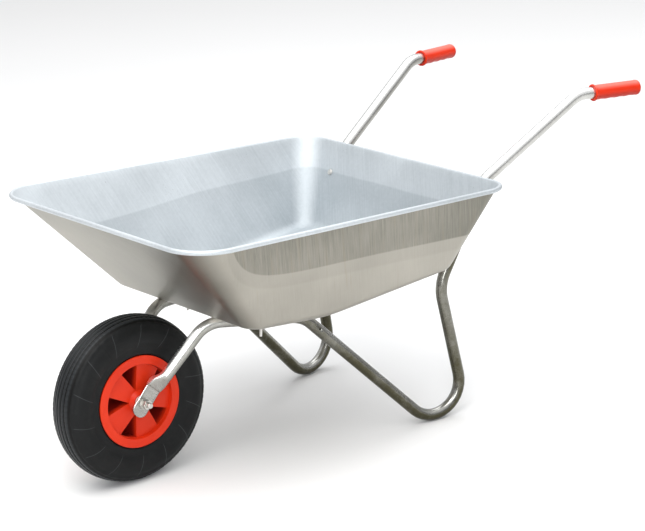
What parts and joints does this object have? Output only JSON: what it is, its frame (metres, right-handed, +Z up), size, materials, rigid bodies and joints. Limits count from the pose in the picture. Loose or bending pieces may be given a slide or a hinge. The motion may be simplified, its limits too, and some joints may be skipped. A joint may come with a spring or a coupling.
{
  "type": "wheelbarrow",
  "caption": "Garden wheelbarrow with a pressed steel tray on a bent tube frame, a pneumatic wheel that turns on its axle, two legs and two plastic handle grips.",
  "frame": {"origin": "on the ground, midway across the barrow and under the middle of its overall length", "axes": "+X is across the barrow towards its left side, +Y runs from the wheel to the handles, +Z is up"},
  "size_m": [0.72, 1.3587, 0.6613],
  "materials": {
    "galvanised_sheet": "hot-dip galvanised sheet, satin with faint streaks and light scuffs",
    "galvanised_wire": "drawn galvanised wire",
    "zinc_tube": "bright zinc-plated welded tube",
    "zinc_fastener": "bright zinc plating",
    "grip_plastic": "soft orange-red moulded grip",
    "rim_plastic": "orange-red injection-moulded polypropylene",
    "bush_plastic": "natural nylon",
    "spacer_plastic": "black moulded plastic",
    "tyre_rubber": "black rubber with circumferential tread grooves",
    "tube_rubber": "thin butyl rubber",
    "valve_rubber": "black rubber-covered valve",
    "cap_plastic": "black moulded plastic"
  },
  "bodies": {
    "frame": {"tray": "galvanised_sheet", "rim_wire": "galvanised_wire", "frame_tube_left": "zinc_tube", "frame_tube_right": "zinc_tube", "grip_left": "grip_plastic", "grip_right": "grip_plastic", "axle_bolt": "zinc_fastener", "axle_nut": "zinc_fastener", "axle_washers": "zinc_fastener", "axle_spacers": "spacer_plastic", "front_tray_bolts": "zinc_fastener", "front_tray_washers": "zinc_fastener", "front_tray_nuts": "zinc_fastener", "rear_tray_bolts": "zinc_fastener", "rear_tray_washers": "zinc_fastener", "rear_tray_nuts": "zinc_fastener"},
    "wheel": {"tyre": "tyre_rubber", "inner_tube": "tube_rubber", "valve_stem": "valve_rubber", "valve_cap": "cap_plastic", "wheel_rim": "rim_plastic", "wheel_disc": "rim_plastic", "hub_bushes": "bush_plastic"}
  },
  "joints": [
    {"name": "wheel_spin", "type": "hinge", "parent": "frame", "child": "wheel", "pos_m": [0, -0.504, 0.175], "axis": [1, 0, 0], "continuous": true}
  ]
}
